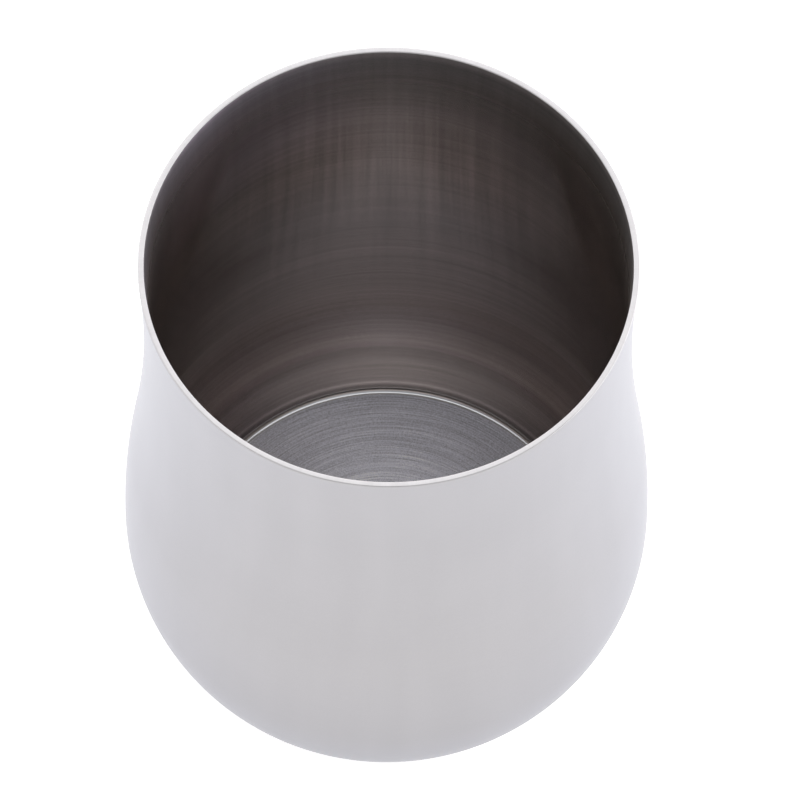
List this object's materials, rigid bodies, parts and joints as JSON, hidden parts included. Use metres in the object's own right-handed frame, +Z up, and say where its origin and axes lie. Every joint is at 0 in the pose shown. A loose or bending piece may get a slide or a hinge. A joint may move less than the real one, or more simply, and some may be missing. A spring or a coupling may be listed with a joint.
{
  "type": "deep drawn metal cup",
  "caption": "Deep drawn stainless steel cup without handle: slightly flared mouth, slim waist, belly low down and a flat base.",
  "frame": {"origin": "middle of the flat underside", "axes": "+Z up along the axis of the cup, towards the mouth; X and Y are alike"},
  "size_m": [0.0848, 0.0848, 0.1053],
  "materials": {
    "satin_steel": "satin outside, turned grain inside"
  },
  "bodies": {
    "root": {"drawn_cup": "satin_steel"}
  },
  "joints": []
}
